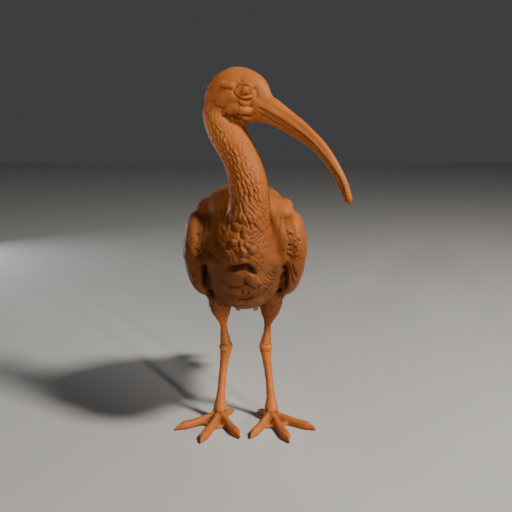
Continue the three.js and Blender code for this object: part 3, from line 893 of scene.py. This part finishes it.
# %% Carve breast and belly
def carve_breast(points, normals):
    x, y, z = points.T
    plane = np.column_stack([x, z])
    front = ramp(0.15, 0.4, -normals[:, 1]) * (y < -30)
    near = (front > 0) & (np.abs(x) < 30) & (z > 145) & (z < 225)
    below = (front > 0) & (x > 5) & (z > 120) & (z < 165)
    rise = draw(np.max, knob, CLUMPS, plane, near, round_edge=0.9)
    for place in BREAST_PITS:
        rise[near] -= PIT_DEPTH * bell(np.hypot(*(plane[near] - place).T), PIT_RADIUS)
    zone = patch(plane, *SIDE_ZONE, soft=0.2) * (1 - drawn_breast(x, z)) * fall(186, 192, z)
    borders = cells(x / SIDE_CELL[0], -z / SIDE_CELL[1]) - 1
    rise += SIDE_DEPTH * borders * zone * np.where(x > 0, SIDE_LEFT_SHARE, 1)
    borders = cells((x + SMALL_SLANT * z) / SMALL_CELL[0], -z / SMALL_CELL[1], loose=0.85) - 1
    rise += SMALL_DEPTH * borders * patch(plane, *SMALL_ZONE, soft=0.2) * fall(208, 214, z)
    combs = [(places, COMB_WIDTH, -COMB_DEPTH) for places in BELLY_COMB]
    grooves = draw(np.min, furrow, BREAST_GROOVES, plane, near)
    rise += np.minimum(grooves, draw(np.min, furrow, combs, plane, below))
    _, distance, along = nearest_on(smooth_line(HAIR_LINE), np.column_stack([-np.abs(x), z]))
    hairs = combed(distance + 0.5 * np.sin(along / 5), HAIR_SPACING)
    rise += HAIR_DEPTH * hairs * fall(7, 10, distance) * fall(27, 31, np.abs(x))
    return rise * front


carve(bird, carve_breast)

# %% [markdown]
# The wings carry small round covert feathers that spread from the shoulder, over long flight feathers that
# follow the wing to its tip. The smooth part of the shoulder stays bare. At the front, where the photograph
# shows them, the coverts' lower edges and the gaps between the long feathers are drawn line by line.
# %% The wing's form and its feathers
WING_Y = [-50, -47, -37, -15, 12, 36, 58, 80, 98, 112]
WING_Z = [167, 167, 166, 161, 153, 143, 128, 108, 87, 72]
WING_ABOVE = [6, 19, 30, 33.5, 32, 27, 20, 13, 7, 4]
WING_BELOW = [6, 16, 29, 38, 37.5, 32, 23, 16, 9.5, 4]
SHOULDER = (-45, 197)
BARE_REACH, BARE_EDGE, LIMIT_EDGE = 13, 8, 1.6
WING_NOSE = -37
COVERT_ROW, COVERT_WIDTH = 4.8, 5.8
COVERT_LIFT, COVERT_GROOVE = 1.15, 0.3
COVERTS_FRONT, COVERTS_BACK = 37, 74
FLIGHT_COUNT, FLIGHT_LENGTH = 4, 62
FLIGHT_ANGLE, FLIGHT_SPREAD = 0.75, 0.5
FLIGHT_LIFT, FLIGHT_GROOVE, SHAFT_RIDGE = 1, 1.3, 0.3
WING_FRONT = (-35, -5)
BEND_X = 52
SIDE_SHIFT = 0.37
FLIGHT_BACK = 40
print("wing from", WING_Y[0], "to", WING_Y[-1], "mm")

# %% The wing's front, line by line
FRONT_SCALLOPS = [
    [(35.4, 182.1), (38, 181.2), (40.3, 180.5)],
    [(43.5, 178.2), (44.7, 175.9), (45.6, 174.6)],
    [(39.6, 175.9), (41.4, 175.1), (42.3, 176.6)],
    [(34.8, 173.5), (36.5, 172.3), (38.8, 172.2), (40.3, 173.5), (41.4, 172.4)],
    [(34.8, 169.4), (36.5, 168.2), (38.6, 167.7), (40.3, 169.4), (41.7, 170.7), (43.5, 169.8)],
    [(34.5, 166.1), (36.6, 164.2), (38.9, 162.6), (40.5, 163.6)],
    [(42.5, 163.3), (43.6, 162.7), (45.1, 163)],
    [(34, 159.8), (35.1, 157.7), (36.6, 157.8)],
]
SCALLOP_WIDTH, SCALLOP_DEPTH = 0.75, 0.95
EDGE_ABOVE, EDGE_LIFT = 1.7, 0.45
FRONT_FEATHERS = [
    [(37.2, 155.5), (38.8, 148.8), (40.2, 141.8), (41.1, 134.6)],
    [(39, 156.3), (40.6, 151.9), (42, 146.4), (42.6, 142)],
    [(42.9, 149.9), (43.6, 144.8), (43.8, 141)],
    [(42.3, 140.5), (42.4, 134)],
]
FEATHER_WIDTH, FEATHER_DEPTH = 0.75, 1.7
TILES_IN_FRONT = 0.65
FRONT_SHARES = (1, 0.6)


def front_lines(x, y, z):
    """The coverts' edges and the gaps between the long feathers, drawn from the front."""
    wide = np.abs(x)
    near = (y < -20) & (wide > 31) & (z > 120) & (z < 200)
    plane = np.column_stack([wide, z])
    lines = [(places, SCALLOP_WIDTH, -SCALLOP_DEPTH) for places in FRONT_SCALLOPS]
    lines += [(places, FEATHER_WIDTH, -FEATHER_DEPTH) for places in FRONT_FEATHERS]
    edges = [(np.array(places) + (0, EDGE_ABOVE), EDGE_ABOVE, EDGE_LIFT) for places in FRONT_SCALLOPS]
    drawn = draw(np.min, stroke, lines, plane, near) + draw(np.max, stroke, edges, plane, near)
    return drawn * np.where(x > 0, *FRONT_SHARES)


print("edges:", len(FRONT_SCALLOPS), "gaps between long feathers:", len(FRONT_FEATHERS))

# %% Carve the wings
def carve_wings(points, normals):
    x, y, z = points.T
    wide = np.abs(x)
    along_wing = np.maximum(y, WING_NOSE)
    from_middle = z - np.interp(along_wing, WING_Y, WING_Z)
    above, below = (np.interp(along_wing, WING_Y, half) for half in (WING_ABOVE, WING_BELOW))
    share = from_middle / np.where(from_middle > 0, above, below)
    nose = fall(-38, -28, y)
    outside = ramp(0.15, 0.45, np.sign(x) * normals[:, 0] - 0.8 * np.minimum(normals[:, 1], 0) * nose)
    on_wing = outside * ramp(31.5, 33.5, wide + 12 * ramp(50, 100, y))
    on_wing *= 1 - ramp(0.9, 1.08, np.abs(share)) * (1 - nose)
    on_wing *= ramp(118, 126, z + 0.5 * (y + 30)) * fall(198, 202, z)
    in_front = fall(*WING_FRONT, y)
    back, down = y - (BEND_X - wide) * in_front - SHOULDER[0], SHOULDER[1] - z
    radius, angle = np.hypot(back, down), np.arctan2(down, back)
    turned = angle * COVERT_ROW / COVERT_WIDTH / 2 + np.where(x < 0, SIDE_SHIFT, 0)
    coverts = feather(*tiles(turned, radius / COVERT_ROW, round_tip=0.7, fan=2), COVERT_LIFT, COVERT_GROOVE)
    limit = COVERTS_FRONT + (COVERTS_BACK - COVERTS_FRONT) * fall(0.3, 1.3, angle)
    beyond = ramp(limit, limit + LIMIT_EDGE, radius)
    covert_zone = ramp(BARE_REACH, BARE_REACH + BARE_EDGE, radius) * (1 - beyond)
    across = (angle - FLIGHT_ANGLE) / FLIGHT_SPREAD * in_front - share * (1 - in_front)
    along = (back + FLIGHT_BACK) / FLIGHT_LENGTH
    flight = tiles(across * FLIGHT_COUNT, along, round_tip=0.15, loose=0.3)
    flight = feather(*flight, FLIGHT_LIFT, FLIGHT_GROOVE, SHAFT_RIDGE) - COVERT_LIFT * 0.5
    facing_front = ramp(-0.2, 0.3, -normals[:, 1]) * nose
    coverts *= covert_zone * (1 - (1 - TILES_IN_FRONT) * facing_front)
    pattern = on_wing * (coverts + flight * beyond * (1 - facing_front))
    return pattern + front_lines(x, y, z) * ramp(0.1, 0.35, -normals[:, 1])


carve(bird, carve_wings)

# %% [markdown]
# The back is out of the photograph's sight, so it is carved in keeping with the front but more plainly: broad
# round feathers on the back and long ones down the tail. The squares of the skin are larger here, so one
# light averaging takes out the marks that are finer than they are.
# %% Back and tail
MANTLE_SIZE = (8, 8.5)
MANTLE_LIFT, MANTLE_GROOVE = 1.5, 0.5
TAIL_START, TAIL_WIDTH, TAIL_LENGTH = 64, 8, 70
TAIL_LIFT, TAIL_GROOVE = 1.1, 1.3
REAR_ROUNDS = 1


def carve_back(points, normals):
    x, y, z = points.T
    upward = ramp(0.1, 0.4, normals[:, 2] + 0.3 * normals[:, 1]) * ramp(110, 120, z + 0.4 * y)
    above = z - np.interp(y, WING_Y, WING_Z) - 0.9 * np.interp(y, WING_Y, WING_ABOVE)
    between = np.clip(fall(28, 34, np.abs(x)) + ramp(0, 3, above), 0, 1)
    zone = upward * between * ramp(-30, -12, y) * fall(212, 216, z)
    down_back = y - 0.5 * (z - 170)
    mantle = tiles(x / MANTLE_SIZE[0], down_back / MANTLE_SIZE[1], round_tip=0.6)
    mantle = feather(*mantle, MANTLE_LIFT, MANTLE_GROOVE)
    tail = tiles(x / TAIL_WIDTH, (y - TAIL_START) / TAIL_LENGTH, round_tip=0.2)
    tail = feather(*tail, TAIL_LIFT, TAIL_GROOVE, SHAFT_RIDGE)
    tail_share = ramp(66, 68, y)
    return zone * (mantle * (1 - tail_share) + tail * tail_share)


def rear(points):
    _, y, z = points.T
    return ramp(-25, -5, y) * ramp(90, 100, z + 0.5 * y) * fall(200, 208, z)


carve(bird, carve_back)
calm(bird, rear, REAR_ROUNDS)

# %% [markdown]
# Tufts of long hairs cover the thighs. The shins and shanks have low scutes across their front and the hocks
# two folds. A tendon ridge runs out along each toe, the toes are wrinkled on top, and each claw is thinner
# than its toe, with a groove between them. A light averaging rounds the claws' tips.
# %% Toes and claws
TOE_START = (23.6, -2)
TOE_TIPS = [(64, -29.5), (38.6, -58), (4, -48.5), (10, 18.5)]
CLAW = 7.5
CLAW_FOLD, CLAW_FOLD_WIDTH = 0.7, 0.9
CLAW_THIN = 0.75
TENDON_WIDTH, TENDON_LIFT = 1.4, 0.55
TENDON_EDGE = (3, 1, -0.4)
TENDON_END = (14, 30)
WRINKLE_SPACING, WRINKLE_DEPTH = 2.4, 0.16
BEHIND = 99


def toes_and_claws(plane):
    """How far the tops of the toes and the sides of the claws move, seen from above, by the nearest toe."""
    start = np.array(TOE_START)
    nearest = np.full(len(plane), np.inf)
    toes, claws = np.zeros((2, len(plane)))
    for tip in TOE_TIPS:
        way = np.array(tip) - start
        length = np.hypot(*way)
        way /= length
        along = (plane - start) @ way
        aside = np.abs((plane - start) @ np.array([-way[1], way[0]])) + BEHIND * (along < 0)
        claw = length - CLAW
        on_toe = ramp(12, 18, along) * fall(claw - 2, claw, along)
        middle, width, lift = TENDON_EDGE
        tendon = TENDON_LIFT * bell(aside, TENDON_WIDTH) + lift * bell(aside - middle, width)
        toe = WRINKLE_DEPTH * combed(along, WRINKLE_SPACING) * on_toe + tendon * fall(*TENDON_END, along)
        toe -= CLAW_FOLD * bell(along - claw, CLAW_FOLD_WIDTH)
        closer = aside < nearest
        toes[closer] = (toe * fall(5, 6, aside))[closer]
        claws[closer] = (-CLAW_THIN * ramp(claw, claw + 1.2, along) * (aside < 6))[closer]
        nearest = np.minimum(nearest, aside)
    return toes, claws


print("toes:", len(TOE_TIPS))

# %% Carve legs and feet
LEG_X = 22.3
THIGH_RADIUS = 11
THIGH_CELL, THIGH_DEPTH = (1.9, 7.5), 0.8
SCUTE_SPACING, SCUTE_DEPTH, SCUTE_BEND = 2.6, 0.45, 0.1
HOCK_FOLDS = [(73, 0.8, -0.7), (70.2, 0.9, -1.4), (67, 2.2, 0.7), (63.4, 0.8, -1)]
HOCK_SAG, HOCK_BEND, HOCK_X, HOCK_BACK = 0.1, 0.03, 19.5, 0.4
ANKLE, ANKLE_REACH = (21.8, -7.5), (9, 12)
ANKLE_FOLD = (9.9, 0.8, -0.8)
FOOT_TOP = (11, 13)
TIP_ROUNDS = 3


def folds(height, rows):
    """Folds across a leg, one for each row of a height, a width and a lift."""
    return sum(lift * bell(height - middle, width) for middle, width, lift in rows)


def carve_legs(points, normals):
    x, y, z = points.T
    wide = np.abs(x)
    to_front = ramp(-0.2, 0.5, -normals[:, 1])
    thigh = ramp(92, 97, z) * fall(122, 132, z) * fall(17, 20, np.hypot(wide - LEG_X, y - 2))
    turned = np.arctan2(wide - LEG_X, 3 - y) * THIGH_RADIUS
    rise = THIGH_DEPTH * (cells(turned / THIGH_CELL[0], -z / THIGH_CELL[1]) - 1) * thigh
    leg = fall(88, 92, z) * ramp(13, 17, z)
    scutes = combed(z + SCUTE_BEND * (wide - LEG_X) ** 2, SCUTE_SPACING)
    rise += SCUTE_DEPTH * scutes * leg * (fall(60, 63, z) + ramp(76, 79, z)) * to_front
    sagged = z + HOCK_SAG * (y - 8) - HOCK_BEND * (wide - HOCK_X) ** 2
    rise += folds(sagged, HOCK_FOLDS) * leg * (HOCK_BACK + (1 - HOCK_BACK) * to_front)
    ankle = fall(*ANKLE_REACH, np.hypot(wide - ANKLE[0], y - ANKLE[1])) * to_front
    rise += folds(z, [ANKLE_FOLD]) * ankle
    toes, claws = toes_and_claws(np.column_stack([wide, y]))
    tops, sides = ramp(-0.1, 0.3, normals[:, 2]), ramp(-0.7, -0.3, normals[:, 2])
    return rise + fall(*FOOT_TOP, z) * (toes * tops + claws * sides)


def claw_tips(points):
    x, y, z = points.T
    distance = np.min([np.hypot(np.abs(x) - tip_x, y - tip_y) for tip_x, tip_y in TOE_TIPS], axis=0)
    return fall(4, 6, distance) * fall(*FOOT_TOP, z)


carve(bird, carve_legs)
calm(bird, claw_tips, TIP_ROUNDS)

# %% [markdown]
# The carved skin must not reach past the solid that other parts fit against, so it is held inside the solid's
# box, and the soles are pressed flat on the ground.
# %% Hold the skin inside the solid's box
CLEARANCE = 0.01
lows, highs = (np.array((Vector(corner) - bird_origin) / MM) for corner in cad_box)
points = points_of(bird)
set_points(bird, np.clip(points, lows + CLEARANCE, highs - CLEARANCE))
print("held", int((points != points_of(bird)).any(1).sum()), "points")

# %% [markdown]
# Floor and light. The floor is pale and flat. A soft lamp stands to the upper right as in the photograph, a
# weak one fills the other side and a third edges the bird from behind. Two narrow weak lamps lift the face
# and the feet out of the shade.
# %% Floor
FLOOR_HALF = 3
FLOOR_COLOUR, FLOOR_ROUGHNESS = (0.5, 0.495, 0.485, 1), 0.9
ops.object.select_all(action="DESELECT")
ops.mesh.primitive_plane_add(size=2 * FLOOR_HALF, location=(0, 0, 0))
floor = bpy.context.object
floor.name = "floor"
paper = bpy.data.materials.new("floor_paper")
paper.use_nodes = True
paper_shader = paper.node_tree.nodes["Principled BSDF"]
paper_shader.inputs["Base Color"].default_value = FLOOR_COLOUR
paper_shader.inputs["Roughness"].default_value = FLOOR_ROUGHNESS
floor.data.materials.append(paper)
print("floor:", 2 * FLOOR_HALF, "m wide")

# %% Lamps
WARM = (1, 0.95, 0.88)
SKY, SKY_STRENGTH = (0.9, 0.92, 0.95, 1), 0.06


def lamp(name, place, size, power, colour, target=(0, -20, 190), spread=180):
    """A square soft lamp at a place, turned to a point of the bird; spread is its beam in degrees."""
    light = bpy.data.objects.new(name, bpy.data.lights.new(name, "AREA"))
    bpy.context.scene.collection.objects.link(light)
    light.data.size = size
    light.data.energy = power
    light.data.color = colour
    light.data.spread = math.radians(spread)
    light.location = place
    light.rotation_euler = (in_model(target) - Vector(place)).to_track_quat("-Z", "Y").to_euler()


lamp("key", (0.83, -0.58, 1.2), 0.22, 30, WARM)
lamp("fill", (-1.1, -0.9, 0.6), 0.9, 0.2, (0.9, 0.94, 1))
lamp("edge", (-0.75, 0.75, 0.12), 0.3, 3, (0.95, 0.97, 1))
lamp("face", (-0.36, -0.85, 0.6), 0.04, 0.042, WARM, target=(-6, -26, 285), spread=17)
lamp("legs", (0.45, -0.85, 0.25), 0.06, 0.035, WARM, target=(0, -10, 50), spread=12)
world = bpy.data.worlds.new("studio")
bpy.context.scene.world = world
world.use_nodes = True
backdrop = world.node_tree.nodes["Background"]
backdrop.inputs["Color"].default_value = SKY
backdrop.inputs["Strength"].default_value = SKY_STRENGTH

# %% [markdown]
# Painted shade darkens the hollows of the clay, and burnish pales its high places. How far each point lies
# below or above the average of the skin round it is written on the points, over three widths, and the clay's
# colour reads it.
# %% Hollows and high places
RELIEF_WIDTHS = [(2, 1.2), (8, 0.5), (24, 0.2)]
RELIEF_SHARE = 0.6


def relief(piece):
    """How far each point lies above the averaged skin, weighed over some numbers of rounds."""
    points, normals, ends = points_of(piece), normals_of(piece), edges_of(piece)
    total = np.zeros(len(points))
    for rounds, weight in RELIEF_WIDTHS:
        total += weight * ((points - softened(points, ends, RELIEF_SHARE, rounds)) * normals).sum(1)
    return total


height_map = relief(bird)
print("relief", [round(float(v), 2) for v in np.percentile(height_map, [1, 10, 50, 90, 99])])
attribute = bird.data.attributes.new("relief", "FLOAT", "POINT")
attribute.data.foreach_set("value", np.clip(0.5 + height_map / 2, 0, 1))

# %% [markdown]
# The clay itself: an orange brown that drifts a little from place to place, with painted shade darkening the
# hollows, paler and smoother on the high places where it is burnished, with a fine grain in its skin. A band
# of painted shade lies over the belly and the lower breast.
# %% Nodes for the clay
clay = bpy.data.materials.new("terracotta")
clay.use_nodes = True
nodes, links = clay.node_tree.nodes, clay.node_tree.links
shader = nodes["Principled BSDF"]


def node(kind, **settings):
    """Adds a node; settings are its properties, or its sockets where the name starts with in_."""
    made = nodes.new(kind)
    for name, value in settings.items():
        if name.startswith("in_"):
            made.inputs[name[3:].replace("_", " ")].default_value = value
        else:
            setattr(made, name, value)
    return made


def colour_ramp(source, stops):
    """A colour ramp on a value; stops are pairs of a place and a linear colour."""
    made = node("ShaderNodeValToRGB")
    links.new(source, made.inputs["Fac"])
    elements = made.color_ramp.elements
    while len(elements) < len(stops):
        elements.new(0.5)
    for element, (place, colour) in zip(elements, stops):
        element.position = place
        element.color = (*colour, 1) if isinstance(colour, tuple) else (colour, colour, colour, 1)
    return made.outputs["Color"]


def mixed(blend, factor, a, b):
    """Two colours mixed; each of factor, a and b is a number, a colour or another node's output."""
    made = node("ShaderNodeMix", data_type="RGBA", blend_type=blend)
    for socket, value in zip((made.inputs["Factor"], made.inputs["A"], made.inputs["B"]), (factor, a, b)):
        if isinstance(value, (float, int)):
            socket.default_value = value
        elif isinstance(value, tuple):
            socket.default_value = (*value, 1)
        else:
            links.new(value, socket)
    return made.outputs["Result"]


coordinates = node("ShaderNodeTexCoord").outputs["Object"]


def noise(scale, detail, rough=0.5):
    """Clouds in the clay, scale to a metre."""
    made = node("ShaderNodeTexNoise", in_Scale=scale, in_Detail=detail, in_Roughness=rough)
    links.new(coordinates, made.inputs["Vector"])
    return made.outputs["Fac"]


print("nodes of a new material:", len(nodes))

# %% Terracotta
SPECULAR = 0.22
# Direction along which the band of painted shade over the belly and the lower breast is laid.
PAINTED_SHADE_BAND_ALONG = (0.5, 0, 1)
SPECK_SHARE = 0.12
CLAY = [(0.3, (0.35, 0.095, 0.016)), (0.55, (0.42, 0.125, 0.024)), (0.75, (0.47, 0.155, 0.038))]
# Below 1 is painted shade in the hollows; above 1 is burnish on the high places.
PAINTED_SHADE_AND_BURNISH = [(0, 0.2), (0.3, 0.6), (0.47, 0.95), (0.56, 1), (0.8, 1.2)]
# Colour stops of the band of painted shade: darkest over the belly, fading towards the breast.
PAINTED_SHADE_BAND = [(0.075, 1), (0.092, 0.5), (0.14, 0.57), (0.185, 0.74), (0.215, 0.93), (0.235, 1)]
ROUGH_BY_RELIEF = [(0.3, 0.72), (0.6, 0.5)]
shader.inputs["Specular IOR Level"].default_value = SPECULAR
relief_value = node("ShaderNodeAttribute", attribute_name="relief").outputs["Fac"]
drift = colour_ramp(noise(scale=28, detail=4), CLAY)
# Painted shade in the hollows and burnish on the high places, read from the relief.
painted_shade_and_burnish = colour_ramp(relief_value, PAINTED_SHADE_AND_BURNISH)
clay_colour = mixed("MULTIPLY", 1, drift, painted_shade_and_burnish)
# Painted shade: a band darkening the belly and the lower breast.
where = node("ShaderNodeVectorMath", operation="DOT_PRODUCT")
links.new(coordinates, where.inputs[0])
where.inputs[1].default_value = PAINTED_SHADE_BAND_ALONG
painted_shade_band = colour_ramp(where.outputs["Value"], PAINTED_SHADE_BAND)
clay_colour = mixed("MULTIPLY", 1, clay_colour, painted_shade_band)
specks = colour_ramp(noise(scale=900, detail=2), [(0.42, 0), (0.62, 1)])
clay_colour = mixed("MIX", SPECK_SHARE, clay_colour, mixed("MULTIPLY", 1, clay_colour, specks))
links.new(clay_colour, shader.inputs["Base Color"])
uneven = colour_ramp(noise(scale=60, detail=3), [(0.3, 0), (0.7, 0.1)])
roughness = mixed("ADD", 1, colour_ramp(relief_value, ROUGH_BY_RELIEF), uneven)
links.new(roughness, shader.inputs["Roughness"])
bump = node("ShaderNodeBump", in_Strength=0.3, in_Distance=0.0002)
links.new(noise(scale=650, detail=5, rough=0.65), bump.inputs["Height"])
links.new(bump.outputs["Normal"], shader.inputs["Normal"])
bird.data.materials.clear()
bird.data.materials.append(clay)
only(bird)
ops.object.shade_smooth()
print("clay nodes:", len(nodes))

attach(bird, "root")
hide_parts("ibis")
